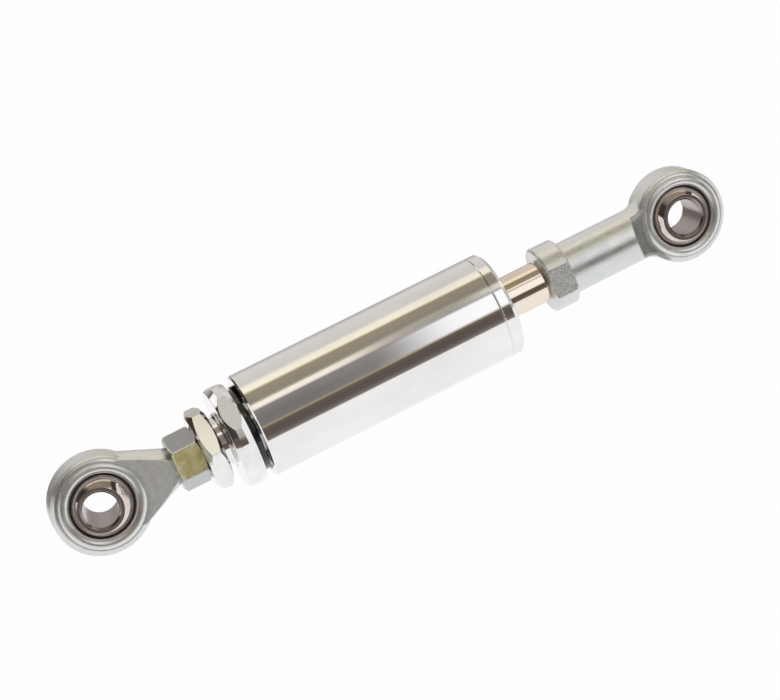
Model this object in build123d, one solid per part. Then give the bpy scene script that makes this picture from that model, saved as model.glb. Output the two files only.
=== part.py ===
from build123d import *
import math
import os

# Engine damper, in millimetres. The origin is the middle of the body-side ball, +X runs along the damper to
# the rod-side eye, Y is the direction of the eye bolts and +Z is up.

# Spherical bearings of the two rod ends
ball_diameter = 19.05
ball_width = 14.0
eye_bore = 10.0
bore_chamfer = 0.5
liner_thickness = 0.25
liner_recess = 0.15
bearing_clearance = 0.05
race_proud = 0.05
head_crown = 1.2
head_edge = 0.3

# Body-side rod end, with an outside thread
body_head_wall = 2.0
body_head_width = 9.6
body_race_wall = 2.125
body_race_width = 11.0
body_lip_width = 7.9
body_shank_length = 22.0
body_shank_diameter = 10.5
body_flank_angle = 51.0
body_ball_tilt = 9.0

# Rod-side rod end, with an inside thread
rod_head_wall = 1.8
rod_head_width = 10.6
rod_race_wall = 1.425
rod_race_width = 12.0
rod_lip_width = 9.2
rod_end_reach = 43.4
rod_neck_diameter = 15.0
rod_collar_diameter = 19.0
rod_collar_length = 7.0
rod_collar_flats = 17.0
collar_edge = 0.5
spot_face_margin = 2.4
neck_fillet = 7.0

# Threads, drawn as plain cylinders
eye_thread = 10.0
spindle_thread = 16.0
piston_thread = 8.0
thread_clearance = 0.05
thread_end_space = 2.0
thread_lead = 0.8

# Jam nut, adjuster spindle, lock nut and spring lock washer
jam_nut_flats = 14.2
jam_nut_height = 8.0
jam_nut_corner = 38.5
spindle_head_flats = 21.6
spindle_head_height = 5.3
spindle_head_corner = 5.8
spindle_head_chamfer = 2.5
thread_relief_length = 3.2
thread_relief_depth = 0.9
body_thread_length = 19.0
neck_gap = 2.5
lock_nut_flats = 28.4
lock_nut_diameter = 30.4
lock_nut_height = 5.5
lock_nut_corner = 11.9
lock_nut_chamfer = 1.2
lock_nut_chamfer_angle = 57.0
lock_washer_diameter = 24.6
lock_washer_thickness = 2.8
lock_washer_gap = 2.0
lock_washer_slant = 30.0
hex_chamfer = 1.1
hex_chamfer_angle = 30.0

# Cylinder, end plug and end cap
tube_bore = 25.0
tube_wall = 2.5
tube_length = 73.4
tube_edge = 0.5
plug_recess = 0.4
plug_length = 9.0
cap_flange = 3.9
cap_spigot = 11.0
cap_flat_depth = 1.0
cap_flat_land = 0.5
cap_flat_angle = 44.0
cap_edge = 1.0
joint_edge = 0.25
o_ring_section = 1.9
o_ring_groove_width = 2.5
o_ring_squash = 0.05
seat_clearance = 0.02

# Rod guide, seal and wiper in the end cap
rod_diameter = 12.0
rod_edge = 0.8
rod_clearance = 0.05
guide_length = 6.0
guide_wall = 1.5
seal_length = 4.0
seal_wall = 3.0
seal_lip = 0.75
seal_groove_depth = 2.0
wiper_length = 2.5
wiper_relief = 1.0
retainer_thickness = 1.0
retainer_radial = 2.2
retainer_groove = 0.6
gland_mouth = 1.2

# Springs, piston and travel
rod_exposed = 13.6
rod_thread_length = 24.0
preload_depth = 1.0
seat_flange = 3.5
seat_spigot = 5.0
seat_lead = 0.8
main_spring_length = 25.5
main_spring_wire = 2.8
main_spring_clearance = 1.5
main_spring_turns = 5.4
thrust_washer_thickness = 1.5
piston_width = 8.0
piston_gap = 0.2
wear_ring_width = 4.0
wear_ring_depth = 1.5
piston_nut_clearance = 0.7
piston_nut_height = 5.0
rebound_spring_wire = 2.0
rebound_spring_clearance = 1.2
rebound_spring_turns = 4.2
bump_stop_length = 4.0
bump_stop_gap = 0.8
bump_stop_clearance = 0.3
bump_stop_edge = 0.8
loose_fit = 0.3

# Places along the axis
jam_nut_start = body_shank_length
spindle_start = jam_nut_start + jam_nut_height
spindle_shoulder = spindle_start + spindle_head_height
lock_nut_start = spindle_shoulder + neck_gap
lock_washer_start = lock_nut_start + lock_nut_height
plug_start = lock_washer_start + lock_washer_thickness
tube_start = plug_start - plug_recess
tube_end = tube_start + tube_length
plug_end = plug_start + plug_length
cap_end = tube_end + cap_flange
cap_inner_face = tube_end - cap_spigot
collar_start = cap_end + rod_exposed
rod_eye = collar_start + rod_end_reach
preload_start = plug_end + preload_depth
main_spring_start = preload_start + seat_flange
main_spring_end = main_spring_start + main_spring_length
piston_start = main_spring_end + thrust_washer_thickness
piston_end = piston_start + piston_width
bump_stop_start = cap_inner_face - bump_stop_length
plug_groove_middle = plug_end - o_ring_groove_width
cap_groove_middle = cap_inner_face + o_ring_groove_width
eye_thread_end = spindle_start + body_thread_length
rod_thread_end = collar_start + rod_thread_length

# Radii and depths that several pieces share
ball_radius = ball_diameter / 2
liner_inner_radius = ball_radius + bearing_clearance
liner_outer_radius = liner_inner_radius + liner_thickness
race_sphere_radius = liner_outer_radius + bearing_clearance
body_race_diameter = (race_sphere_radius + body_race_wall) * 2
rod_race_diameter = (race_sphere_radius + rod_race_wall) * 2
body_head_diameter = body_race_diameter + body_head_wall * 2
rod_head_diameter = rod_race_diameter + rod_head_wall * 2
bore_radius = tube_bore / 2
tube_radius = bore_radius + tube_wall
rod_radius = rod_diameter / 2
o_ring_groove_depth = o_ring_section + o_ring_squash + seat_clearance
plug_radius = bore_radius - seat_clearance
guide_pocket_radius = rod_radius + rod_clearance + guide_wall + seat_clearance
gland_radius = rod_radius + rod_clearance + seal_wall + seat_clearance
main_spring_radius = bore_radius - main_spring_clearance
main_spring_inner = main_spring_radius - main_spring_wire
piston_nut_radius = main_spring_inner - piston_nut_clearance
rebound_spring_radius = bore_radius - rebound_spring_clearance


# A solid of revolution about the damper's axis, from its outline as (x, radius) points
def turned(*outline):
    return revolve(make_face(Polyline(*outline, close=True)), Axis.X, 360)


# A plain sleeve between two places on the axis
def sleeve(start, end, outer, inner):
    return turned((start, inner), (start, outer), (end, outer), (end, inner))


# The same with its two outer edges chamfered
def chamfered_sleeve(start, end, outer, inner, edge):
    return turned(
        (start, inner),
        (start, outer - edge),
        (start + edge, outer),
        (end - edge, outer),
        (end, outer - edge),
        (end, inner),
    )


# A round bar along the axis, to be cut or added
def bar(start, end, radius):
    return Pos((start + end) / 2, 0, 0) * Rot(0, 90, 0) * Cylinder(radius, end - start)


# A slab square to the damper's axis or to the eye bolt
def slab(centre, size_x, size_y, size_z):
    return Pos(*centre) * Box(size_x, size_y, size_z)


# Size across corners of a hexagon, from its size across flats
def across_corners(flats):
    return flats / math.cos(math.pi / 6)


# A hexagon across the axis, with one corner turned up from -Y by the given angle
def hexagon(start, height, flats, corner_angle, corner_diameter, chamfer, chamfer_angle=hex_chamfer_angle):
    outline = RegularPolygon(flats / 2, 6, major_radius=False)
    prism = extrude(Plane.YZ.offset(start) * Rot(0, 0, 180 - corner_angle) * outline, height)
    rim = corner_diameter / 2
    relief = chamfer * math.tan(math.radians(chamfer_angle))
    blank = turned(
        (start, 0),
        (start, rim - chamfer),
        (start + relief, rim),
        (start + height - relief, rim),
        (start + height, rim - chamfer),
        (start + height, 0),
    )
    return prism & blank


# The ball, with flat faces and a chamfered bore
def bearing_ball(centre, tilt):
    ball = Sphere(ball_radius) & Box(ball_diameter * 2, ball_width, ball_diameter * 2)
    ball -= Rot(90, 0, 0) * Cylinder(eye_bore / 2, ball_width * 2)
    ball = chamfer(ball.edges().filter_by(GeomType.CIRCLE).filter_by(
        lambda edge: abs(edge.radius - eye_bore / 2) < bearing_clearance), bore_chamfer)
    return Pos(centre, 0, 0) * Rot(0, 0, tilt) * ball


# The thin bearing liner that the ball turns in
def bearing_liner(centre, lip_width):
    liner = Sphere(liner_outer_radius) & Box(ball_diameter * 2, lip_width - liner_recess * 2, ball_diameter * 2)
    return Pos(centre, 0, 0) * (liner - Sphere(liner_inner_radius))


# The race ring, domed on both faces, whose outer edges lie just proud of the forged head
def bearing_race(centre, diameter, race_width, lip_width, head_width):
    outer = diameter / 2
    half = race_width / 2
    lip = lip_width / 2
    edge = head_width / 2 + race_proud
    lip_radius = math.sqrt(race_sphere_radius**2 - lip**2)
    crest = (lip_radius + outer) / 2
    inside = lip_radius - liner_thickness
    outline = make_face(
        Polyline((lip_radius, -lip), (inside, -lip), (inside, lip), (lip_radius, lip))
        + ThreePointArc((lip_radius, lip), (crest, half), (outer, edge))
        + Line((outer, edge), (outer, -edge))
        + ThreePointArc((outer, -edge), (crest, -half), (lip_radius, -lip))
    )
    ring = revolve(outline, Axis.Y, 360) - Sphere(race_sphere_radius)
    return Pos(centre, 0, 0) * ring


# The disc of a forged head, crowned from the race's seat to its rim and turned about the eye bolt
def head_disc(diameter, width, race_diameter):
    radius = diameter / 2
    half = width / 2
    seat = race_diameter / 2
    rim = half - head_crown
    middle = (seat + radius) / 2
    crown = half - head_crown / 4
    outline = make_face(
        Polyline((0, -half), (seat, -half))
        + ThreePointArc((seat, -half), (middle, -crown), (radius - head_edge, -rim))
        + Polyline((radius - head_edge, -rim), (radius, head_edge - rim))
        + Polyline((radius, head_edge - rim), (radius, rim - head_edge), (radius - head_edge, rim))
        + ThreePointArc((radius - head_edge, rim), (middle, crown), (seat, half))
        + Polyline((seat, half), (0, half), (0, -half))
    )
    return revolve(outline, Axis.Y, 360)


# A round bar along the eye bolt, to be cut
def cross_bar(centre, radius, length):
    return Pos(centre, 0, 0) * Rot(90, 0, 0) * Cylinder(radius, length)


# Forged male rod end: head, tapered shank with the cheeks' flats run out on it, and threaded stud
def body_rod_end():
    head_radius = body_head_diameter / 2
    shank_radius = body_shank_diameter / 2
    meeting = math.radians(body_flank_angle)
    shoulder_x = head_radius * math.cos(meeting)
    shoulder_radius = head_radius * math.sin(meeting)
    shank = turned(
        (shoulder_x / 2, 0),
        (shoulder_x / 2, shoulder_radius),
        (shoulder_x, shoulder_radius),
        (body_shank_length, shank_radius),
        (body_shank_length, 0),
    )
    shank &= slab((body_shank_length / 2, 0, 0), body_shank_length, body_head_width, body_head_diameter)
    stud_radius = eye_thread / 2
    stud = turned(
        (body_shank_length - thread_lead, 0),
        (body_shank_length - thread_lead, stud_radius),
        (eye_thread_end - thread_lead, stud_radius),
        (eye_thread_end, stud_radius - thread_lead),
        (eye_thread_end, 0),
    )
    head = head_disc(body_head_diameter, body_head_width, body_race_diameter)
    seat = cross_bar(0, body_race_diameter / 2 + seat_clearance, body_head_width * 2)
    return (head - seat) + (shank + stud - seat)


# Forged female rod end: head, spot-faced neck and a collar with two wrench flats
def rod_rod_end():
    neck_radius = rod_neck_diameter / 2
    collar_radius = rod_collar_diameter / 2
    collar_end = collar_start + rod_collar_length
    head_radius = rod_head_diameter / 2
    neck_end = rod_eye - math.sqrt((head_radius + neck_fillet) ** 2 - (neck_radius + neck_fillet) ** 2)
    shrink = head_radius / (head_radius + neck_fillet)
    touch = (rod_eye - (rod_eye - neck_end) * shrink, (neck_radius + neck_fillet) * shrink)
    turn = math.atan2(touch[0] - neck_end, neck_radius + neck_fillet - touch[1])
    knee = (
        neck_end + neck_fillet * math.sin(turn / 2),
        neck_radius + neck_fillet * (1 - math.cos(turn / 2)),
    )
    outline = make_face(
        Polyline(
            (rod_eye, 0),
            (collar_start, 0),
            (collar_start, collar_radius - collar_edge),
            (collar_start + collar_edge, collar_radius),
            (collar_end - collar_edge, collar_radius),
            (collar_end, collar_radius - collar_edge),
            (collar_end, neck_radius),
            (neck_end, neck_radius),
        )
        + ThreePointArc((neck_end, neck_radius), knee, touch)
        + Polyline(touch, (rod_eye, touch[1]), (rod_eye, 0))
    )
    barrel = revolve(outline, Axis.X, 360)
    spot_face = cross_bar(rod_eye, head_radius + spot_face_margin, rod_head_diameter * 2)
    barrel -= spot_face - slab((rod_eye, 0, 0), rod_head_diameter * 2, rod_head_width, rod_head_diameter * 2)
    for side in (-1, 1):
        flat_middle = (collar_start, side * (rod_collar_flats + rod_collar_diameter) / 2, 0)
        barrel -= slab(flat_middle, rod_collar_length * 2, rod_collar_diameter, rod_collar_diameter * 2)
    head = head_disc(rod_head_diameter, rod_head_width, rod_race_diameter)
    housing = barrel + Pos(rod_eye, 0, 0) * head
    housing -= cross_bar(rod_eye, rod_race_diameter / 2 + seat_clearance, rod_head_width * 2)
    return housing - bar(collar_start, rod_thread_end + thread_end_space, eye_thread / 2 + thread_clearance)


# Hexagon nut on the stud of the body-side rod end
def jam_nut():
    corners = across_corners(jam_nut_flats)
    nut = hexagon(jam_nut_start, jam_nut_height, jam_nut_flats, jam_nut_corner, corners, hex_chamfer)
    return nut - bar(jam_nut_start, spindle_start, eye_thread / 2 + thread_clearance)


# Adjuster spindle: hexagon head, threaded shank and a rounded inner end that bears on the preload seat
def adjuster_spindle():
    corners = across_corners(spindle_head_flats)
    head = hexagon(
        spindle_start, spindle_head_height, spindle_head_flats, spindle_head_corner, corners,
        spindle_head_chamfer)
    shank_radius = spindle_thread / 2
    relief_radius = shank_radius - thread_relief_depth
    relief_end = spindle_shoulder + thread_relief_length
    shank = turned(
        (spindle_start + hex_chamfer, 0),
        (spindle_start + hex_chamfer, relief_radius),
        (relief_end - thread_relief_depth, relief_radius),
        (relief_end, shank_radius),
        (preload_start - thread_lead * 2, shank_radius),
        (preload_start, shank_radius - thread_lead * 2),
        (preload_start, 0),
    )
    stud_hole = bar(spindle_start, eye_thread_end + thread_end_space, eye_thread / 2 + thread_clearance)
    return head + shank - stud_hole


# Lock nut with corners turned down to a little over the tube's diameter
def lock_nut():
    nut = hexagon(
        lock_nut_start, lock_nut_height, lock_nut_flats, lock_nut_corner, lock_nut_diameter,
        lock_nut_chamfer, lock_nut_chamfer_angle)
    return nut - bar(lock_nut_start, lock_washer_start, spindle_thread / 2 + thread_clearance)


# Split spring washer between the lock nut and the end plug, its ends cut on a slant
def spring_lock_washer():
    outer = lock_washer_diameter / 2
    inner = spindle_thread / 2 + loose_fit
    ring = sleeve(lock_washer_start, plug_start, outer, inner)
    middle = lock_washer_start + lock_washer_thickness / 2
    gap = Pos(middle, 0, outer) * Rot(0, 0, lock_washer_slant) * Box(
        lock_washer_thickness * 3, lock_washer_gap, outer)
    return ring - gap


# Groove for an o-ring in a plug of the cylinder's bore, by its middle
def o_ring_groove(middle):
    half = o_ring_groove_width / 2
    return sleeve(middle - half, middle + half, bore_radius * 1.5, bore_radius - o_ring_groove_depth)


# An o-ring that lies against the cylinder's bore
def o_ring(middle):
    section_radius = o_ring_section / 2
    ring_radius = bore_radius - section_radius - o_ring_squash
    return revolve(Pos(middle, ring_radius) * Circle(section_radius), Axis.X, 360)


# Black plug screwed into the mouth of the cylinder, threaded inside for the spindle
def end_plug():
    plug = chamfered_sleeve(
        plug_start, plug_end, plug_radius, spindle_thread / 2 + thread_clearance, tube_edge)
    return plug - o_ring_groove(plug_groove_middle)


# Cylinder tube with chamfered mouths
def cylinder_tube():
    return turned(
        (tube_start, bore_radius + tube_edge),
        (tube_start, tube_radius - tube_edge),
        (tube_start + tube_edge, tube_radius),
        (tube_end - joint_edge, tube_radius),
        (tube_end, tube_radius - joint_edge),
        (tube_end, bore_radius),
        (tube_start + tube_edge, bore_radius),
    )


# End cap: flange with two wrench flats, screwed spigot, guide pocket and seal gland
def end_cap():
    seal_end = cap_end - gland_mouth - retainer_thickness
    seal_start = seal_end - wiper_length - seal_length
    guide_end = cap_inner_face + guide_length
    retainer_radius = gland_radius + retainer_groove
    cap = turned(
        (cap_inner_face, guide_pocket_radius),
        (cap_inner_face, plug_radius - tube_edge),
        (cap_inner_face + tube_edge, plug_radius),
        (tube_end, plug_radius),
        (tube_end, tube_radius - joint_edge),
        (tube_end + joint_edge, tube_radius),
        (cap_end - cap_edge, tube_radius),
        (cap_end, tube_radius - cap_edge),
        (cap_end, gland_radius),
        (cap_end - gland_mouth, gland_radius),
        (cap_end - gland_mouth, retainer_radius),
        (seal_end, retainer_radius),
        (seal_end, gland_radius),
        (seal_start, gland_radius),
        (seal_start, rod_radius + loose_fit),
        (guide_end, rod_radius + loose_fit),
        (guide_end, guide_pocket_radius),
    )
    flat_length = cap_flange - cap_flat_land
    flat_middle = cap_end - flat_length / 2
    flat_side = cap_flat_depth - tube_radius * 3 / 2
    for side in (0, 180):
        cutter = slab((flat_middle, flat_side, 0), flat_length, tube_radius, tube_radius * 2)
        cap -= Rot(cap_flat_angle + side, 0, 0) * cutter
    return cap - o_ring_groove(cap_groove_middle)


# Plain bush that guides the rod
def rod_guide_bush():
    inner = rod_radius + rod_clearance
    return sleeve(cap_inner_face, cap_inner_face + guide_length, inner + guide_wall, inner)


# Lip seal with a V groove facing the cylinder
def rod_seal():
    inner = rod_radius + rod_clearance
    outer = inner + seal_wall
    end = cap_end - gland_mouth - retainer_thickness - wiper_length
    start = end - seal_length
    return turned(
        (start, inner),
        (start, inner + seal_lip),
        (start + seal_groove_depth, (inner + outer) / 2),
        (start, outer - seal_lip),
        (start, outer),
        (end, outer),
        (end, inner),
    )


# Wiper with a raised lip on the rod
def rod_wiper():
    inner = rod_radius + rod_clearance
    outer = inner + seal_wall
    end = cap_end - gland_mouth - retainer_thickness
    start = end - wiper_length
    lip = inner + seal_lip
    return turned(
        (start, inner + wiper_relief),
        (start, outer),
        (end, outer),
        (end, inner + wiper_relief),
        (end + retainer_thickness, lip),
        (end + retainer_thickness, inner),
    )


# Snap ring that keeps the wiper in its gland, with a gap to squeeze it by
def wiper_retainer():
    outer = gland_radius + retainer_groove - seat_clearance
    end = cap_end - gland_mouth
    ring = sleeve(end - retainer_thickness, end, outer, outer - retainer_radial)
    gap = slab((end, 0, outer), retainer_thickness * 3, retainer_radial * 2, outer)
    return ring - gap


# Cup that the spindle pushes to load the main spring
def preload_seat():
    spigot = main_spring_inner - loose_fit
    return turned(
        (preload_start, 0),
        (preload_start, bore_radius - piston_gap),
        (main_spring_start, bore_radius - piston_gap),
        (main_spring_start, spigot),
        (main_spring_start + seat_spigot - seat_lead, spigot),
        (main_spring_start + seat_spigot, spigot - seat_lead),
        (main_spring_start + seat_spigot, 0),
    )


# A coil spring along the axis with both ends ground flat
def coil_spring(start, end, outer_radius, wire, turns):
    length = end - start
    pitch = length / turns
    radius = outer_radius - wire / 2
    line = Helix(pitch, length, radius, center=(start, 0, 0), direction=(1, 0, 0))
    section = Plane(origin=line @ 0, z_dir=line % 0) * Circle(wire / 2)
    coil = sweep(section, path=line, is_frenet=True)
    ends = bar(start, end, outer_radius * 2)
    return coil & ends


def main_spring():
    return coil_spring(
        main_spring_start, main_spring_end, main_spring_radius, main_spring_wire, main_spring_turns)


def rebound_spring():
    return coil_spring(
        piston_end, cap_inner_face, rebound_spring_radius, rebound_spring_wire, rebound_spring_turns)


# Washer between the main spring and the piston, wide enough inside for the piston nut
def spring_thrust_washer():
    inner = piston_nut_radius + loose_fit
    return sleeve(main_spring_end, piston_start, bore_radius - piston_gap, inner)


# Piston with a groove for its wear ring
def piston():
    body = sleeve(piston_start, piston_end, bore_radius - piston_gap, piston_thread / 2 + thread_clearance)
    middle = (piston_start + piston_end) / 2
    half = wear_ring_width / 2
    return body - sleeve(middle - half, middle + half, bore_radius * 1.5, bore_radius - wear_ring_depth)


# Split wear ring in the piston's groove
def piston_wear_ring():
    middle = (piston_start + piston_end) / 2
    half = wear_ring_width / 2 - seat_clearance
    ring = sleeve(
        middle - half, middle + half, bore_radius - rod_clearance, bore_radius - wear_ring_depth + seat_clearance)
    gap = Pos(middle, 0, bore_radius) * Rot(0, 0, lock_washer_slant) * Box(
        wear_ring_width * 3, loose_fit, bore_radius)
    return ring - gap


# Nut that holds the piston on the rod's threaded end
def piston_nut():
    start = piston_start - piston_nut_height
    corners = piston_nut_radius * 2
    flats = corners * math.cos(math.pi / 6)
    nut = hexagon(start, piston_nut_height, flats, 0, corners, hex_chamfer)
    return nut - bar(start, piston_start, piston_thread / 2 + thread_clearance)


# Rubber stop round the rod, against the end cap
def bump_stop():
    outer = rebound_spring_radius - rebound_spring_wire - bump_stop_gap
    inner = rod_radius + bump_stop_clearance
    return chamfered_sleeve(bump_stop_start, cap_inner_face, outer, inner, bump_stop_edge)


# Rod with a threaded end for the piston and another for the rod end
def damper_rod():
    piston_stud = piston_thread / 2
    eye_stud = eye_thread / 2
    stud_start = piston_start - piston_nut_height - thread_lead
    return turned(
        (stud_start, 0),
        (stud_start, piston_stud - thread_lead),
        (stud_start + thread_lead, piston_stud),
        (piston_end, piston_stud),
        (piston_end, rod_radius),
        (collar_start - rod_edge, rod_radius),
        (collar_start, rod_radius - rod_edge),
        (collar_start, eye_stud),
        (rod_thread_end - thread_lead, eye_stud),
        (rod_thread_end, eye_stud - thread_lead),
        (rod_thread_end, 0),
    )


pieces = {
    "body_eye_ball": bearing_ball(0, -body_ball_tilt),
    "body_eye_liner": bearing_liner(0, body_lip_width),
    "body_eye_race": bearing_race(
        0, body_race_diameter, body_race_width, body_lip_width, body_head_width),
    "body_rod_end": body_rod_end(),
    "jam_nut": jam_nut(),
    "adjuster_spindle": adjuster_spindle(),
    "lock_nut": lock_nut(),
    "spring_lock_washer": spring_lock_washer(),
    "end_plug": end_plug(),
    "plug_o_ring": o_ring(plug_groove_middle),
    "cylinder_tube": cylinder_tube(),
    "preload_seat": preload_seat(),
    "main_spring": main_spring(),
    "spring_thrust_washer": spring_thrust_washer(),
    "piston": piston(),
    "piston_wear_ring": piston_wear_ring(),
    "piston_nut": piston_nut(),
    "rebound_spring": rebound_spring(),
    "bump_stop": bump_stop(),
    "end_cap": end_cap(),
    "cap_o_ring": o_ring(cap_groove_middle),
    "rod_guide_bush": rod_guide_bush(),
    "rod_seal": rod_seal(),
    "rod_wiper": rod_wiper(),
    "wiper_retainer": wiper_retainer(),
    "damper_rod": damper_rod(),
    "rod_rod_end": rod_rod_end(),
    "rod_eye_race": bearing_race(
        rod_eye, rod_race_diameter, rod_race_width, rod_lip_width, rod_head_width),
    "rod_eye_liner": bearing_liner(rod_eye, rod_lip_width),
    "rod_eye_ball": bearing_ball(rod_eye, 0),
}

os.makedirs("parts", exist_ok=True)
for name, piece in pieces.items():
    export_step(piece, f"parts/{name}.step")
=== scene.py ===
import math

import bmesh
import bpy
from mathutils import Matrix, Vector


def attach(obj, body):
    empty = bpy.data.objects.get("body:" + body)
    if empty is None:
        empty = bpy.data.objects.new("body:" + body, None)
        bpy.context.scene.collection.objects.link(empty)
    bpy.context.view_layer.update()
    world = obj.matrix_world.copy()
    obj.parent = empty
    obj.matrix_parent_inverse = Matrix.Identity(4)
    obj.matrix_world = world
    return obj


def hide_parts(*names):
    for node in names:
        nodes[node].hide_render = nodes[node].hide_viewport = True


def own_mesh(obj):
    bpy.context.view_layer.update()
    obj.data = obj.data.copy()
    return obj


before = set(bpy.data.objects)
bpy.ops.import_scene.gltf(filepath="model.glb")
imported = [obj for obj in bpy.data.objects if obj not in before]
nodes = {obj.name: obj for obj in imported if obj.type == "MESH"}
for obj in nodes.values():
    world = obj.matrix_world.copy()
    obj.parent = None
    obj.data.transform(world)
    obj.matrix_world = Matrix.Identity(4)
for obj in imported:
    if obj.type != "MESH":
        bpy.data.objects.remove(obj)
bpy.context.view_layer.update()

# Engine damper: everything in metres, +X from the body-side eye to the rod-side eye, +Z up.
scene = bpy.context.scene
eyeGap = 0.18  # between the bolt lines of the two eyes
print("frame loaded:", len(nodes), "nodes")

# Small helpers for node trees


def addNode(tree, kind, inputs=None, **settings):
    made = tree.nodes.new(kind)
    for key, value in settings.items():
        setattr(made, key, value)
    for key, value in (inputs or {}).items():
        if isinstance(value, bpy.types.NodeSocket):
            tree.links.new(value, made.inputs[key])
        else:
            made.inputs[key].default_value = value
    return made


def calc(tree, operation, *values):
    return addNode(tree, "ShaderNodeMath", dict(enumerate(values)), operation=operation).outputs[0]


def ramp(tree, factor, stops):
    made = addNode(tree, "ShaderNodeValToRGB", {"Fac": factor})
    points = made.color_ramp.elements
    while len(points) < len(stops):
        points.new(0.5)
    for point, (place, colour) in zip(points, stops):
        point.position = place
        point.color = (*colour, 1) if isinstance(colour, tuple) else (colour, colour, colour, 1)
    return made.outputs["Color"]


def mixColour(tree, factor, first, second, blend="MIX"):
    made = addNode(tree, "ShaderNodeMix", data_type="RGBA", blend_type=blend)
    for socket, value in zip((made.inputs[0], made.inputs[6], made.inputs[7]), (factor, first, second)):
        if isinstance(value, bpy.types.NodeSocket):
            tree.links.new(value, socket)
        else:
            socket.default_value = (*value, 1) if isinstance(value, tuple) else value
    return made.outputs[2]


def spread(tree, value, low, high):  # the middle of a noise's reach to low..high
    return addNode(tree, "ShaderNodeMapRange", {
        "Value": value, "From Min": 0.3, "From Max": 0.7, "To Min": low, "To Max": high}).outputs["Result"]


def noise(tree, vector, scale, detail=3.0, stretch=(1, 1, 1), roughness=0.55):
    turned = addNode(tree, "ShaderNodeMapping", {"Vector": vector, "Scale": stretch}).outputs["Vector"]
    return addNode(tree, "ShaderNodeTexNoise", {
        "Vector": turned, "Scale": scale, "Detail": detail, "Roughness": roughness}).outputs["Fac"]


def bump(tree, height, distance, normal):
    return addNode(tree, "ShaderNodeBump", {
        "Height": height, "Distance": distance, "Strength": 1.0, "Normal": normal}).outputs["Normal"]


def objectPlace(tree):
    return addNode(tree, "ShaderNodeTexCoord").outputs["Object"]


def objectNormal(tree):
    return addNode(tree, "ShaderNodeTexCoord").outputs["Normal"]


def axes(tree, vector):
    return addNode(tree, "ShaderNodeSeparateXYZ", {"Vector": vector}).outputs


# How far a value lies inside a span, with soft ends
def within(tree, value, first, last, soft):
    sides = []
    for edge, way in ((first, 1.0), (last, -1.0)):
        depth = calc(tree, "MULTIPLY", calc(tree, "SUBTRACT", value, edge), way)
        sides.append(addNode(tree, "ShaderNodeMapRange", {
            "Value": depth, "From Min": -soft, "From Max": soft}, interpolation_type="SMOOTHSTEP").outputs["Result"])
    return calc(tree, "MULTIPLY", *sides)


# 1 along the rounded edges of a piece, 0 on its faces
def roundedEdgeMask(tree, rounded, flat=0.995, edge=0.93):
    true = addNode(tree, "ShaderNodeNewGeometry").outputs["Normal"]
    same = addNode(tree, "ShaderNodeVectorMath", {0: rounded, 1: true}, operation="DOT_PRODUCT").outputs["Value"]
    return addNode(tree, "ShaderNodeMapRange", {
        "Value": same, "From Min": flat, "From Max": edge}).outputs["Result"]


def hypotenuse(tree, first, second):
    return calc(tree, "SQRT", calc(tree, "ADD", calc(tree, "MULTIPLY", first, first),
                                   calc(tree, "MULTIPLY", second, second)))


# Distance from the damper's axis, and the angle round it, 0 towards -Y and growing upwards
def axisRadius(tree, place):
    spot = axes(tree, place)
    return hypotenuse(tree, spot["Y"], spot["Z"])


def axisAngle(tree, place):
    spot = axes(tree, place)
    return calc(tree, "ARCTAN2", spot["Z"], calc(tree, "MULTIPLY", spot["Y"], -1.0))


# How far along X from the nearer eye, and the distance from its bolt line
def pastEye(tree, place):
    along = axes(tree, place)["X"]
    far = calc(tree, "GREATER_THAN", along, eyeGap / 2)
    return calc(tree, "SUBTRACT", along, calc(tree, "MULTIPLY", far, eyeGap))


def eyeRadius(tree, place):
    return hypotenuse(tree, pastEye(tree, place), axes(tree, place)["Z"])


# Fine tool rings: a one-way noise read along the given distance
def toolRings(tree, distance, scale):
    line = addNode(tree, "ShaderNodeCombineXYZ", {"X": distance})
    return addNode(tree, "ShaderNodeTexNoise", {
        "Vector": line.outputs[0], "Scale": scale, "Detail": 2.0, "Roughness": 0.7}).outputs["Fac"]


# Rings round a turned piece, on its barrel and on its end faces alike
def latheRings(tree, place, scale):
    return toolRings(tree, calc(tree, "ADD", axes(tree, place)["X"], axisRadius(tree, place)), scale)


def startMaterial(name, metallic, edge):
    material = bpy.data.materials.new(name)
    material.use_nodes = True
    tree = material.node_tree
    shader = tree.nodes["Principled BSDF"]
    shader.inputs["Metallic"].default_value = metallic
    rounded = addNode(tree, "ShaderNodeBevel", {"Radius": edge}, samples=6).outputs["Normal"]
    return material, tree, shader, rounded


def finishMaterial(tree, shader, colour, rough, normal):
    for name, value in (("Base Color", colour), ("Roughness", rough), ("Normal", normal)):
        tree.links.new(value, shader.inputs[name])


# Finishes: one per slot of the record, and one more for milled pieces. Scales of noise and rings are per metre.

turnedMetals = {
    # slot: two base colours, roughness low and high, ring scale, ring depth, rounded edge, smear scale
    "polished_aluminium": {"dark": (0.80, 0.79, 0.785), "light": (0.90, 0.895, 0.885), "rough": (0.035, 0.085),
                           "rings": 9000, "depth": 2.2e-7, "edge": 0.00018, "smears": 70},
    "machined_aluminium": {"dark": (0.70, 0.70, 0.71), "light": (0.82, 0.82, 0.83), "rough": (0.16, 0.27),
                           "rings": 5200, "depth": 1.6e-6, "edge": 0.00015, "smears": 90},
    "hard_chrome": {"dark": (0.76, 0.64, 0.53), "light": (0.92, 0.84, 0.76), "rough": (0.035, 0.075),
                    "rings": 7000, "depth": 1.2e-7, "edge": 0.0001, "smears": 60},
    "bronze": {"dark": (0.48, 0.33, 0.17), "light": (0.64, 0.45, 0.24), "rough": (0.28, 0.42),
               "rings": 4200, "depth": 1.2e-6, "edge": 0.0001, "smears": 220},
}
turning = {"wanderScale": 900, "wander": 2.5e-5, "smearStretch": (0.5, 1, 1)}


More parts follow.
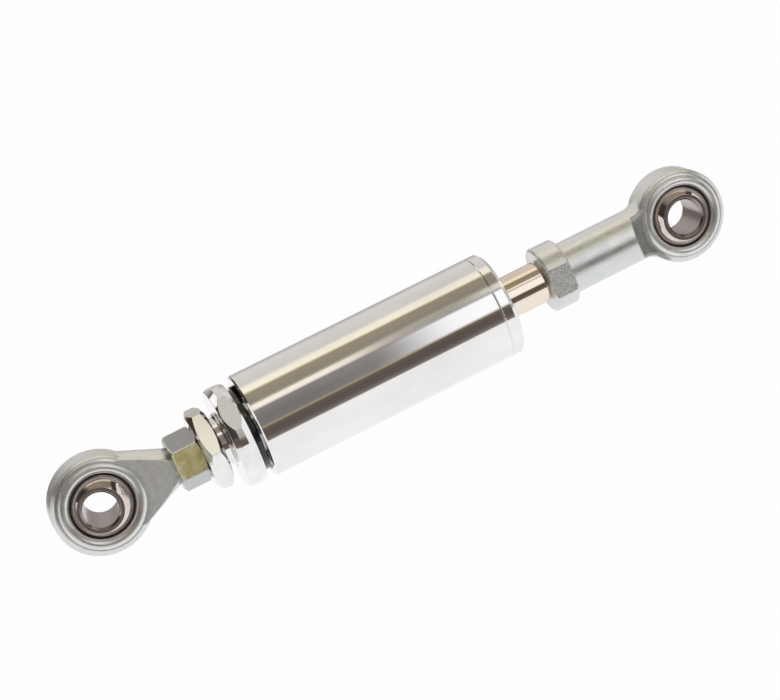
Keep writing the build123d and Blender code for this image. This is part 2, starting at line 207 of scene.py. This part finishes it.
def turnedMetal(slot, values):
    material, tree, shader, rounded = startMaterial(slot + "_turned", 1.0, values["edge"])
    place = objectPlace(tree)
    distance = calc(tree, "ADD", axes(tree, place)["X"], axisRadius(tree, place))
    wander = calc(tree, "MULTIPLY", noise(tree, place, turning["wanderScale"], 2.0), turning["wander"])
    rings = toolRings(tree, calc(tree, "ADD", distance, wander), values["rings"])
    smears = noise(tree, place, values["smears"], 5.0, turning["smearStretch"])
    colour = mixColour(tree, spread(tree, smears, 0, 1), values["dark"], values["light"])
    low, high = values["rough"]
    rough = calc(tree, "ADD", spread(tree, smears, low, high), calc(tree, "MULTIPLY", rings, (high - low) / 2))
    finishMaterial(tree, shader, colour, rough, bump(tree, rings, values["depth"], rounded))
    return material


zincForging = {
    "base": (0.72, 0.735, 0.725), "light": (0.86, 0.865, 0.85), "metallic": 0.88, "rough": (0.27, 0.37),
    "edge": 0.0005, "grain": 2600, "grainDepth": 2.5e-6, "waves": 330, "waveDepth": 2e-5, "pits": 1500,
    "pitDepth": 1e-4,
    # tints of the plating: colour, noise scale, detail and stretch, least and most of it
    "tints": [
        ((0.70, 0.76, 0.70), 150, 3.0, (1, 1, 1), (-0.25, 0.5)),
        ((0.80, 0.735, 0.73), 95, 2.0, (1, 1.4, 0.8), (-0.35, 0.5)),
        ((0.68, 0.73, 0.79), 210, 2.0, (0.6, 1, 1.7), (-0.3, 0.45)),
    ],
    # flat cheeks of the body-side rod end, with turned arcs round the eye
    "cheekSide": 0.00478, "cheekEnd": 0.024, "cheekGrey": (0.45, 0.46, 0.455), "cheekRough": 0.10,
    "cheekPits": 0.18, "cheekMottle": (0.15, 1.0), "arcs": 820, "arcWanderScale": 160, "arcWander": 0.0022,
    "clouds": 640,
    # spot face round the rod-side head, where the neck runs into it, painted dark grey as painted shade in its recess,
    # and made duller
    "spotSide": 0.0040, "spotRadius": (0.0117, 0.0156), "spotX": (0.158, 0.1722), "spotShadeGrey": (0.22, 0.245, 0.235),
    "spotSoft": (0.0004, 0.0009), "spotMottle": (0.45, 1.0), "patchShare": 0.45,
    # as-forged wrench flats of the rod-side collar
    "flatSide": 0.00847, "flatX": (0.135, 0.1445), "flatRough": 0.14, "flatShare": 0.85,
    "speckle": [(0.38, 0.42), (0.46, 0.78), (0.54, 1.0)],
}


def forgedZinc(values):
    material, tree, shader, rounded = startMaterial("zinc_forging", values["metallic"], values["edge"])
    place = objectPlace(tree)
    spot = axes(tree, place)
    side = calc(tree, "ABSOLUTE", spot["Y"])
    cheek = calc(tree, "MULTIPLY", calc(tree, "GREATER_THAN", side, values["cheekSide"]),
                 calc(tree, "LESS_THAN", spot["X"], values["cheekEnd"]))
    flatFrom, flatTo = values["flatX"]
    onCollar = calc(tree, "MULTIPLY", calc(tree, "GREATER_THAN", spot["X"], flatFrom),
                    calc(tree, "LESS_THAN", spot["X"], flatTo))
    castFlat = calc(tree, "MULTIPLY", calc(tree, "GREATER_THAN", side, values["flatSide"]), onCollar)
    softRadius, softX = values["spotSoft"]
    onFace = calc(tree, "MULTIPLY", within(tree, eyeRadius(tree, place), *values["spotRadius"], softRadius),
                  within(tree, spot["X"], *values["spotX"], softX))
    spotFace = calc(tree, "MULTIPLY", onFace, calc(tree, "GREATER_THAN", side, values["spotSide"]))
    grain = noise(tree, place, values["grain"], 3.0)
    pits = noise(tree, place, values["pits"], 6.0, roughness=0.75)
    waves = noise(tree, place, values["waves"], 2.0)
    colour = mixColour(tree, spread(tree, grain, 0.1, 0.9), values["base"], values["light"])
    for tint, scale, detail, stretch, share in values["tints"]:
        colour = mixColour(tree, spread(tree, noise(tree, place, scale, detail, stretch), *share), colour, tint)
    colour = mixColour(tree, calc(tree, "MULTIPLY", castFlat, values["flatShare"]), colour,
                       ramp(tree, pits, values["speckle"]), "MULTIPLY")
    wander = calc(tree, "MULTIPLY", noise(tree, place, values["arcWanderScale"], 3.0), values["arcWander"])
    arcs = toolRings(tree, calc(tree, "ADD", eyeRadius(tree, place), wander), values["arcs"])
    clouds = calc(tree, "ADD", calc(tree, "MULTIPLY", arcs, 0.5),
                  calc(tree, "MULTIPLY", noise(tree, place, values["clouds"], 5.0, roughness=0.7), 0.5))
    mottle = calc(tree, "MULTIPLY", cheek, spread(tree, clouds, *values["cheekMottle"]))
    colour = mixColour(tree, mottle, colour, values["cheekGrey"])
    # painted shade: the spot face's recess painted dark grey, mottled by the clouds
    spotShading = calc(tree, "MULTIPLY", spotFace, spread(tree, clouds, *values["spotMottle"]))
    colour = mixColour(tree, spotShading, colour, values["spotShadeGrey"])
    rough = calc(tree, "ADD", spread(tree, waves, *values["rough"]),
                 calc(tree, "MULTIPLY", cheek, values["cheekRough"]))
    rough = calc(tree, "ADD", rough, calc(tree, "MULTIPLY", castFlat, values["flatRough"]))
    dullRecoloured = calc(tree, "MULTIPLY", calc(tree, "MAXIMUM", cheek, spotFace), values["patchShare"])
    tree.links.new(calc(tree, "SUBTRACT", values["metallic"], dullRecoloured), shader.inputs["Metallic"])
    fine = bump(tree, grain, values["grainDepth"], bump(tree, waves, values["waveDepth"], rounded))
    pitted = calc(tree, "ADD", castFlat, calc(tree, "MULTIPLY", cheek, values["cheekPits"]))
    coarse = bump(tree, calc(tree, "MULTIPLY", pits, pitted), values["pitDepth"], fine)
    finishMaterial(tree, shader, colour, rough, coarse)
    return material


raceRing = {"dark": (0.72, 0.735, 0.725), "light": (0.90, 0.905, 0.895), "tint": (0.72, 0.77, 0.74), "metallic": 0.82,
            "rough": (0.24, 0.33), "ringRough": 0.05, "rings": 5200, "depth": 1.6e-6, "patches": 190, "tintScale": 120,
            "tintShare": (-0.3, 0.4), "wanderScale": 600, "wander": 4e-5, "edge": 0.00022}


def turnedRace(values):
    material, tree, shader, rounded = startMaterial("turned_race", values["metallic"], values["edge"])
    place = objectPlace(tree)
    wander = calc(tree, "MULTIPLY", noise(tree, place, values["wanderScale"], 2.0), values["wander"])
    rings = toolRings(tree, calc(tree, "ADD", eyeRadius(tree, place), wander), values["rings"])
    patches = noise(tree, place, values["patches"], 4.0)
    colour = mixColour(tree, spread(tree, patches, 0, 1), values["dark"], values["light"])
    tinting = spread(tree, noise(tree, place, values["tintScale"], 2.0), *values["tintShare"])
    colour = mixColour(tree, tinting, colour, values["tint"])
    rough = calc(tree, "ADD", spread(tree, patches, *values["rough"]),
                 calc(tree, "MULTIPLY", rings, values["ringRough"]))
    finishMaterial(tree, shader, colour, rough, bump(tree, rings, values["depth"], rounded))
    return material


ballSteel = {"dark": (0.60, 0.53, 0.50), "light": (0.78, 0.72, 0.69), "rough": (0.03, 0.09), "ringRough": 0.03,
             "rings": 6500, "depth": 2.4e-7, "smears": 260, "bore": (0.40, 0.345, 0.34), "boreRough": 0.16,
             "boreFacing": -0.0028, "edge": 0.00015}


def polishedBall(values):
    material, tree, shader, rounded = startMaterial("polished_ball", 1.0, values["edge"])
    place = objectPlace(tree)
    rings = toolRings(tree, eyeRadius(tree, place), values["rings"])
    smears = noise(tree, place, values["smears"], 5.0)
    colour = mixColour(tree, spread(tree, smears, 0, 1), values["dark"], values["light"])
    # the bore's wall faces its own bolt line
    facing = axes(tree, objectNormal(tree))
    outward = calc(tree, "ADD", calc(tree, "MULTIPLY", pastEye(tree, place), facing["X"]),
                   calc(tree, "MULTIPLY", axes(tree, place)["Z"], facing["Z"]))
    inBore = calc(tree, "LESS_THAN", outward, values["boreFacing"])
    colour = mixColour(tree, inBore, colour, values["bore"])
    rough = calc(tree, "ADD", spread(tree, smears, *values["rough"]),
                 calc(tree, "MULTIPLY", rings, values["ringRough"]))
    rough = calc(tree, "ADD", rough, calc(tree, "MULTIPLY", inBore, values["boreRough"]))
    finishMaterial(tree, shader, colour, rough, bump(tree, rings, values["depth"], rounded))
    return material


nutFinish = {"grey": (0.44, 0.455, 0.455), "light": (0.62, 0.635, 0.635), "olive": (0.46, 0.41, 0.15),
             "straw": (0.74, 0.68, 0.42), "paintedShadeGrey": (0.36, 0.365, 0.38), "edgeHighlight": (0.97, 0.95, 0.88),
             # middle angles of the flat with the painted yellow reflection and the flat with painted shade, and how
             # far each reaches either way
             "paintedYellowFlat": 8.5, "paintedShadeFlat": 68.5, "reach": 29.0, "yellowFlatMatt": 0.75, "patchShare": 0.85, "edgeHighlightShare": 0.8,
             "rough": (0.20, 0.34), "clouds": 420, "grain": 1700, "grainStretch": (0.25, 1, 1), "depth": 6e-6,
             "edge": 0.0007}


# Zinc-plated nut: one flat is painted olive and straw as a painted reflection of a yellow light, the next one a darker
# grey as painted shade, and the rounded edges a cream painted highlight
def passivatedNut(values):
    material, tree, shader, rounded = startMaterial("passivated_nut", 1.0, values["edge"])
    place = objectPlace(tree)
    turn = axisAngle(tree, place)
    masks = []
    for middle in ("paintedYellowFlat", "paintedShadeFlat"):
        away = calc(tree, "ABSOLUTE", calc(tree, "SUBTRACT", turn, math.radians(values[middle])))
        masks.append(calc(tree, "LESS_THAN", away, math.radians(values["reach"])))
    paintedYellowFlat, paintedShadeFlat = masks
    # painted highlight: a cream colour along the rounded edges, with less metal in it
    edgeHighlight = calc(tree, "MULTIPLY", roundedEdgeMask(tree, rounded), values["edgeHighlightShare"])
    grain = noise(tree, place, values["grain"], 4.0, values["grainStretch"])
    plain = mixColour(tree, spread(tree, grain, 0, 0.8), values["grey"], values["light"])
    # painted shade: the upper flat mixed towards a darker grey
    plain = mixColour(tree, calc(tree, "MULTIPLY", paintedShadeFlat, values["patchShare"]), plain, values["paintedShadeGrey"])
    clouds = spread(tree, noise(tree, place, values["clouds"], 4.0), 0, 1)
    # painted reflection: the middle flat painted olive and straw, as if it mirrored a yellow light
    yellowReflection = mixColour(tree, clouds, values["olive"], values["straw"])
    colour = mixColour(tree, edgeHighlight, mixColour(tree, paintedYellowFlat, plain, yellowReflection), values["edgeHighlight"])
    matt = calc(tree, "MAXIMUM", calc(tree, "MULTIPLY", paintedYellowFlat, values["yellowFlatMatt"]), edgeHighlight)
    tree.links.new(calc(tree, "SUBTRACT", 1.0, matt), shader.inputs["Metallic"])
    finishMaterial(tree, shader, colour, spread(tree, grain, *values["rough"]),
                   bump(tree, grain, values["depth"], rounded))
    return material


milledNut = {"dark": (0.78, 0.775, 0.775), "light": (0.92, 0.915, 0.905), "rough": (0.05, 0.11), "smears": 160,
             "rings": 6000, "ringDepth": 4e-7, "lines": 1400, "lineStretch": (1.0, 0.12, 0.12), "lineDepth": 2.8e-6,
             # flats: how little they lean to the axis, and the radius beyond which they lie
             "flatLean": 0.12, "rimRadius": 0.0092, "spindleRough": 0.06,
             # the lock nut's one flat between two of its corners, painted light grey as painted light in place of its
             # reflection, less metallic and rougher
             "nutFrom": 0.0365, "paintedLightTurn": (12.0, 72.0), "paintedLightSoft": 0.01, "paintedLightGrey": (0.66, 0.665, 0.68),
             "patchShare": 0.6, "nutRough": 0.26, "edge": 0.00022}


# Lock nut and spindle head: flats milled satin, chamfers and faces turned bright
def milledAluminium(values):
    material, tree, shader, rounded = startMaterial("milled_aluminium", 1.0, values["edge"])
    place = objectPlace(tree)
    lean = calc(tree, "ABSOLUTE", axes(tree, objectNormal(tree))["X"])
    flat = calc(tree, "MULTIPLY", calc(tree, "LESS_THAN", lean, values["flatLean"]),
                calc(tree, "GREATER_THAN", axisRadius(tree, place), values["rimRadius"]))
    # painted light: one flat of the lock nut painted a light grey in place of its dark reflection, and made duller
    paintedLightFrom, paintedLightTo = (math.radians(angle) for angle in values["paintedLightTurn"])
    paintedLightSide = within(tree, axisAngle(tree, place), paintedLightFrom, paintedLightTo, values["paintedLightSoft"])
    onNut = calc(tree, "GREATER_THAN", axes(tree, place)["X"], values["nutFrom"])
    dullRecoloured = calc(tree, "MULTIPLY", calc(tree, "MULTIPLY", flat, paintedLightSide), onNut)
    smears = noise(tree, place, values["smears"], 4.0)
    colour = mixColour(tree, spread(tree, smears, 0, 1), values["dark"], values["light"])
    colour = mixColour(tree, dullRecoloured, colour, values["paintedLightGrey"])
    tree.links.new(calc(tree, "SUBTRACT", 1.0, calc(tree, "MULTIPLY", dullRecoloured, values["patchShare"])),
                   shader.inputs["Metallic"])
    duller = calc(tree, "ADD", calc(tree, "MULTIPLY", flat, values["spindleRough"]),
                  calc(tree, "MULTIPLY", dullRecoloured, values["nutRough"] - values["spindleRough"]))
    rough = calc(tree, "ADD", spread(tree, smears, *values["rough"]), duller)
    lines = noise(tree, place, values["lines"], 3.0, values["lineStretch"], 0.7)
    marks = mixColour(tree, flat, latheRings(tree, place, values["rings"]), lines)
    depth = calc(tree, "ADD", values["ringDepth"], calc(tree, "MULTIPLY", flat, values["lineDepth"]))
    finishMaterial(tree, shader, colour, rough, bump(tree, calc(tree, "MULTIPLY", marks, depth), 1.0, rounded))
    return material


darkFinishes = {
    # slot: metallic, two colours, roughness low and high, coat, turned rings or not
    "black_oxide": {"metallic": 0.0, "dark": (0.010, 0.010, 0.011), "light": (0.026, 0.025, 0.026),
                    "rough": (0.10, 0.20), "grain": 700, "depth": 1.5e-6, "rings": True, "coat": 0.35},
    "rubber_black": {"metallic": 0.0, "dark": (0.012, 0.012, 0.012), "light": (0.030, 0.030, 0.030),
                     "rough": (0.50, 0.68), "grain": 2400, "depth": 5e-6, "rings": False, "coat": 0.0},
    "liner_ptfe": {"metallic": 0.0, "dark": (0.045, 0.034, 0.030), "light": (0.10, 0.080, 0.070),
                   "rough": (0.30, 0.50), "grain": 3000, "depth": 4e-6, "rings": False, "coat": 0.0},
    "wear_ring": {"metallic": 0.0, "dark": (0.07, 0.08, 0.075), "light": (0.13, 0.14, 0.135),
                  "rough": (0.40, 0.55), "grain": 1500, "depth": 3e-6, "rings": True, "coat": 0.0},
    "spring_steel": {"metallic": 1.0, "dark": (0.30, 0.29, 0.28), "light": (0.48, 0.465, 0.45),
                     "rough": (0.25, 0.40), "grain": 1100, "depth": 4e-6, "rings": False, "coat": 0.0},
}
darkShared = {"edge": 0.00012, "coatRough": 0.05, "rings": 4200}


def darkFinish(slot, values):
    material, tree, shader, rounded = startMaterial(slot + "_finish", values["metallic"], darkShared["edge"])
    shader.inputs["Coat Weight"].default_value = values["coat"]
    shader.inputs["Coat Roughness"].default_value = darkShared["coatRough"]
    place = objectPlace(tree)
    grain = noise(tree, place, values["grain"], 4.0)
    marks = latheRings(tree, place, darkShared["rings"]) if values["rings"] else grain
    colour = mixColour(tree, spread(tree, grain, 0, 1), values["dark"], values["light"])
    finishMaterial(tree, shader, colour, spread(tree, marks, *values["rough"]),
                   bump(tree, marks, values["depth"], rounded))
    return material


finishes = {slot: turnedMetal(slot, values) for slot, values in turnedMetals.items()}
finishes.update({slot: darkFinish(slot, values) for slot, values in darkFinishes.items()})
finishes["zinc_steel"] = forgedZinc(zincForging)
finishes["race_steel"] = turnedRace(raceRing)
finishes["chrome_ball"] = polishedBall(ballSteel)
finishes["nut_zinc"] = passivatedNut(nutFinish)

milled = milledAluminium(milledNut)
for name, part in nodes.items():
    for place in part.material_slots:
        place.material = finishes[place.material.name.split(".")[0]]
        if name in ("lock_nut", "adjuster_spindle"):
            place.material = milled
print("finishes made:", len(finishes))

# Spindle thread and split washer: one tree for a helical bar, two sets of sizes in metres and degrees.
# The higher fade is, the sooner the section reaches its full size from either end.

spindleThread = {"start": 0.0370, "turns": 2.0, "pitch": 0.0015, "phase": 0.0, "root": 0.0071, "crest": 0.0080,
                 "footWidth": 0.0013, "crestWidth": 0.00022, "rounding": 0.00003, "fade": 12.0, "endScale": 0.02,
                 "steps": 144}
splitWasher = {"start": 0.04405, "turns": 0.972, "pitch": 0.001337, "phase": 95.0, "root": 0.0083,
               "crest": 0.0123, "footWidth": 0.0015, "crestWidth": 0.0015, "rounding": 0.00028, "fade": 1.0,
               "endScale": 1.0, "steps": 160}


def helicalBarTree(sizes):
    tree = bpy.data.node_groups.new("helical bar", "GeometryNodeTree")
    tree.interface.new_socket("Geometry", in_out="OUTPUT", socket_type="NodeSocketGeometry")
    for name, value in sizes.items():
        kind = "NodeSocketInt" if isinstance(value, int) else "NodeSocketFloat"
        tree.interface.new_socket(name, in_out="INPUT", socket_type=kind)
    tree.interface.new_socket("material", in_out="INPUT", socket_type="NodeSocketMaterial")
    given = tree.nodes.new("NodeGroupInput").outputs

    def work(operation, *numbers):
        return calc(tree, operation, *numbers)

    # helix laid along +X: a line of points moved round the axis
    line = addNode(tree, "GeometryNodeMeshLine", {"Count": work("ADD", given["steps"], 1.0)})
    share = work("DIVIDE", addNode(tree, "GeometryNodeInputIndex").outputs[0], given["steps"])
    turned = work("MULTIPLY", share, given["turns"])
    angle = work("ADD", work("MULTIPLY", turned, 2 * math.pi), work("RADIANS", given["phase"]))
    along = work("ADD", given["start"], work("MULTIPLY", turned, given["pitch"]))
    sine, cosine = work("SINE", angle), work("COSINE", angle)
    spot = addNode(tree, "ShaderNodeCombineXYZ", {
        "X": along, "Y": work("MULTIPLY", given["root"], cosine), "Z": work("MULTIPLY", given["root"], sine)})
    helix = addNode(tree, "GeometryNodeSetPosition", {"Geometry": line.outputs[0], "Position": spot.outputs[0]})
    path = addNode(tree, "GeometryNodeMeshToCurve", {"Mesh": helix.outputs[0]})
    outward = addNode(tree, "ShaderNodeCombineXYZ", {"Y": cosine, "Z": sine})
    facing = addNode(tree, "GeometryNodeSetCurveNormal", {"Curve": path.outputs[0]}, mode="FREE")
    tree.links.new(outward.outputs[0], facing.inputs["Normal"])
    # section from root to crest, its size fading towards both ends
    height = work("SUBTRACT", given["crest"], given["root"])
    nearEnd = work("MINIMUM", share, work("SUBTRACT", 1.0, share))
    fade = work("MAXIMUM", given["endScale"], work("MINIMUM", 1.0, work("MULTIPLY", nearEnd, given["fade"])))
    section = addNode(tree, "GeometryNodeCurvePrimitiveQuadrilateral", mode="POINTS")
    for index, (width, rise) in enumerate((("footWidth", 0.0), ("crestWidth", 1.0))):
        half = work("MULTIPLY", given[width], 0.5)
        for side, point in ((-1.0, index + 1), (1.0, 4 - index)):
            corner = addNode(tree, "ShaderNodeCombineXYZ", {
                "X": work("MULTIPLY", height, rise), "Y": work("MULTIPLY", half, side)})
            tree.links.new(corner.outputs[0], section.inputs[f"Point {point}"])
    softened = addNode(tree, "GeometryNodeFilletCurve", {
        "Curve": section.outputs[0], "Count": 4, "Radius": given["rounding"], "Limit Radius": True}, mode="POLY")
    sweep = addNode(tree, "GeometryNodeCurveToMesh", {
        "Curve": facing.outputs[0], "Profile Curve": softened.outputs[0], "Fill Caps": True, "Scale": fade})
    made = addNode(tree, "GeometryNodeRealizeInstances", {"Geometry": sweep.outputs[0]})
    dressed = addNode(tree, "GeometryNodeSetMaterial", {"Geometry": made.outputs[0], "Material": given["material"]})
    result = tree.nodes.new("NodeGroupOutput")
    tree.links.new(dressed.outputs[0], result.inputs[0])
    return tree


def fromNodes(name, tree, values, sharpAngle=50):
    holder = bpy.data.objects.new(name + "Source", bpy.data.meshes.new(name + "Source"))
    scene.collection.objects.link(holder)
    modifier = holder.modifiers.new("nodes", "NODES")
    modifier.node_group = tree
    for socket in tree.interface.items_tree:
        if socket.in_out == "INPUT" and socket.name in values:
            modifier[socket.identifier] = values[socket.name]
    ready = holder.evaluated_get(bpy.context.evaluated_depsgraph_get())
    piece = bpy.data.objects.new(name, bpy.data.meshes.new_from_object(ready))
    scene.collection.objects.link(piece)
    bpy.data.objects.remove(holder)
    piece.data.shade_smooth()
    piece.data.set_sharp_from_angle(angle=math.radians(sharpAngle))
    return piece


helicalBar = helicalBarTree(spindleThread)
thread = fromNodes("spindle_thread", helicalBar, dict(spindleThread, material=finishes["polished_aluminium"]))
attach(thread, "adjuster")

washer = fromNodes("split_washer", helicalBar, dict(splitWasher, material=finishes["black_oxide"]))
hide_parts("spring_lock_washer")
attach(washer, "lock_washer")
print("thread and split washer made:", len(thread.data.polygons) + len(washer.data.polygons), "faces")

# Springs inside the cylinder, which shorten on the real damper as the rod moves; here they are welded copies riding
# with the cylinder

weldDistance = 1e-6
coils = {
    # node: the piece's name, the end that stays put (0 low, 1 high) and how far the other end comes at most
    "main_spring": {"name": "main_coil", "fixedEnd": 0, "travel": 0.010},
    "rebound_spring": {"name": "rebound_coil", "fixedEnd": 1, "travel": 0.010},
}
for node, values in coils.items():
    mesh = bmesh.new()
    mesh.from_mesh(nodes[node].data)
    bmesh.ops.remove_doubles(mesh, verts=mesh.verts, dist=weldDistance)
    coil = bpy.data.objects.new(values["name"], nodes[node].data.copy())
    mesh.to_mesh(coil.data)
    mesh.free()
    scene.collection.objects.link(coil)
    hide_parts(node)
    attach(coil, "cylinder")
    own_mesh(coil)
print("springs made:", len(coils))

# Floor, studio and camera

studio = {"floorDrop": 0.50, "floorSize": 12.0, "floorColour": (0.86, 0.86, 0.87), "whiteShare": 0.97,
          "tentRadius": 1.1, "tentMiddle": 0.09, "tentHalfLength": 2.4, "tentFrom": -26.0, "tentTo": 190.0,
          "tentSteps": 72, "airLight": (0.62, 0.63, 0.65), "airSeen": (0.985, 0.985, 0.985)}
# angle above the -Y horizon round the damper's axis, and the colour that the surface there gives off
tentBands = [
    (-26, (0.34, 0.31, 0.30)), (-24.5, (0.24, 0.205, 0.185)), (-17, (0.13, 0.112, 0.098)), (-6, (0.115, 0.095, 0.08)),
    (3, (0.16, 0.13, 0.10)), (4, (0.46, 0.40, 0.27)), (7, (0.27, 0.235, 0.18)), (10, (0.215, 0.20, 0.185)),
    (22, (0.20, 0.185, 0.175)), (43, (0.27, 0.24, 0.225)), (45, (0.85, 0.80, 0.66)), (49, (1.08, 1.03, 0.90)),
    (55, (1.02, 0.95, 0.78)), (58, (0.40, 0.36, 0.30)), (63, (0.30, 0.265, 0.225)), (75, (0.33, 0.285, 0.215)),
    (84.5, (0.34, 0.295, 0.225)), (87.5, (0.80, 0.73, 0.55)), (91, (1.08, 1.02, 0.82)), (103, (1.0, 0.94, 0.80)),
    (108, (0.78, 0.73, 0.66)), (112, (0.72, 0.685, 0.64)), (150, (0.77, 0.74, 0.715)), (160, (0.66, 0.635, 0.61)),
    (170, (0.50, 0.47, 0.45)), (190, (0.60, 0.565, 0.54)),
]
# soft-edged cards and dark ends on the tent: x from and to, angle from and to, edge softness, colour
tentCards = {
    "darkLeft": {"x": (-4.0, -0.34), "turn": (2, 200), "soft": (0.24, 5), "colour": (0.055, 0.040, 0.034)},
    "darkRight": {"x": (1.35, 4.0), "turn": (2, 150), "soft": (0.25, 5), "colour": (0.075, 0.055, 0.045)},
    "bandGap": {"x": (0.27, 0.372), "turn": (42, 58), "soft": (0.03, 2), "colour": (0.42, 0.385, 0.35)},
    "upperLeft": {"x": (-1.00, -0.36), "turn": (112, 142), "soft": (0.06, 3), "colour": (1.10, 1.08, 1.06)},
    "farRight": {"x": (1.25, 1.85), "turn": (98, 116), "soft": (0.08, 3), "colour": (1.05, 0.95, 0.70)},
    "rightSide": {"x": (0.305, 1.10), "turn": (6, 41), "soft": (0.035, 3), "colour": (1.14, 1.15, 1.18)},
}


def lightPathShare(tree):  # 1 for the rays that see the background
    path = addNode(tree, "ShaderNodeLightPath").outputs
    seen = calc(tree, "MAXIMUM", path["Is Camera Ray"], path["Is Glossy Ray"])
    return calc(tree, "MAXIMUM", seen, path["Is Transmission Ray"])


def emptyMaterial(name):
    material = bpy.data.materials.new(name)
    material.use_nodes = True
    material.node_tree.nodes.clear()
    return material, material.node_tree


def makeFloor(values):
    half, drop = values["floorSize"] / 2, -values["floorDrop"]
    mesh = bpy.data.meshes.new("floor")
    corners = [(-half, -half, drop), (half, -half, drop), (half, half, drop), (-half, half, drop)]
    mesh.from_pydata(corners, [], [(0, 1, 2, 3)])
    material, tree = emptyMaterial("pale_floor")
    plain = addNode(tree, "ShaderNodeBsdfDiffuse", {"Color": (*values["floorColour"], 1)})
    glow = addNode(tree, "ShaderNodeEmission", {"Color": (1, 1, 1, 1), "Strength": 1.0})
    share = calc(tree, "MULTIPLY", lightPathShare(tree), values["whiteShare"])
    mixed = addNode(tree, "ShaderNodeMixShader", {0: share, 1: plain.outputs[0], 2: glow.outputs[0]})
    addNode(tree, "ShaderNodeOutputMaterial", {"Surface": mixed.outputs[0]})
    mesh.materials.append(material)
    floor = bpy.data.objects.new("floor", mesh)
    scene.collection.objects.link(floor)
    return floor


# A long open tent of light round the damper's axis, which the camera sees only in what it lights
def makeTent(values, bands, cards):
    steps, radius, half = values["tentSteps"], values["tentRadius"], values["tentHalfLength"]
    first, last = values["tentFrom"], values["tentTo"]
    corners, turns = [], []
    for index in range(steps + 1):
        angle = first + (last - first) * index / steps
        bow = math.radians(angle)
        for side in (-half, half):
            corners.append((values["tentMiddle"] + side, -radius * math.cos(bow), radius * math.sin(bow)))
            turns.append(angle)
    faces = [(2 * i, 2 * i + 1, 2 * i + 3, 2 * i + 2) for i in range(steps)]
    mesh = bpy.data.meshes.new("tent")
    mesh.from_pydata(corners, [], faces)
    around = mesh.attributes.new("around", "FLOAT", "POINT")
    around.data.foreach_set("value", turns)
    material, tree = emptyMaterial("tent_light")
    turn = addNode(tree, "ShaderNodeAttribute", attribute_name="around").outputs["Fac"]
    along = axes(tree, objectPlace(tree))["X"]
    share = calc(tree, "DIVIDE", calc(tree, "SUBTRACT", turn, first), last - first)
    colour = ramp(tree, share, [((angle - first) / (last - first), shade) for angle, shade in bands])
    for card in cards.values():
        mask = calc(tree, "MULTIPLY", within(tree, along, *card["x"], card["soft"][0]),
                    within(tree, turn, *card["turn"], card["soft"][1]))
        colour = mixColour(tree, mask, colour, card["colour"])
    glow = addNode(tree, "ShaderNodeEmission", {"Color": colour, "Strength": 1.0})
    addNode(tree, "ShaderNodeOutputMaterial", {"Surface": glow.outputs[0]})
    mesh.materials.append(material)
    tent = bpy.data.objects.new("tent", mesh)
    tent.visible_camera = False
    tent.visible_shadow = False
    scene.collection.objects.link(tent)
    return tent


makeFloor(studio)
makeTent(studio, tentBands, tentCards)

world = bpy.data.worlds.new("studio")
world.use_nodes = True
scene.world = world
air = world.node_tree
airColour = mixColour(air, lightPathShare(air), studio["airLight"], studio["airSeen"])
air.links.new(airColour, air.nodes["Background"].inputs["Color"])
air.nodes["Background"].inputs["Strength"].default_value = 1.0

# Two soft lamps, which the metal doesn't mirror
lamps = {
    "overheadSoft": {"place": (0.05, -0.30, 0.85), "aim": (0.09, 0, 0), "size": (1.4, 0.5), "power": 5.0,
                     "colour": (1.0, 0.97, 0.91)},
    "sideSoft": {"place": (-0.75, -0.45, 0.35), "aim": (0.06, 0, 0), "size": (0.5, 0.5), "power": 2.5,
                 "colour": (0.95, 0.97, 1.0)},
}
for name, values in lamps.items():
    light = bpy.data.lights.new(name, "AREA")
    light.shape = "RECTANGLE"
    light.size, light.size_y = values["size"]
    light.energy = values["power"]
    light.color = values["colour"]
    lamp = bpy.data.objects.new(name, light)
    scene.collection.objects.link(lamp)
    lamp.location = values["place"]
    lamp.rotation_euler = (Vector(values["aim"]) - lamp.location).to_track_quat("-Z", "Y").to_euler()
    lamp.visible_glossy = False

view = {"place": (-0.02925, -0.6200, 0.19465), "aim": (0.0893, 0.0, 0.00178), "roll": -23.4, "lens": 110.77,
        "sensor": 36.0, "nearest": 0.05}
camera = bpy.data.objects.new("camera", bpy.data.cameras.new("camera"))
scene.collection.objects.link(camera)
forward = (Vector(view["aim"]) - Vector(view["place"])).normalized()
level = forward.cross(Vector((0, 0, 1))).normalized()
upright = level.cross(forward)
roll = math.radians(view["roll"])
right = level * math.cos(roll) + upright * math.sin(roll)
up = upright * math.cos(roll) - level * math.sin(roll)
turn = Matrix((right, up, -forward)).transposed()
camera.matrix_world = Matrix.Translation(view["place"]) @ turn.to_4x4()
camera.data.lens = view["lens"]
camera.data.sensor_width = view["sensor"]
camera.data.sensor_fit = "HORIZONTAL"
camera.data.clip_start = view["nearest"]
scene.camera = camera
scene.view_settings.view_transform = "Standard"
print("studio and camera set")
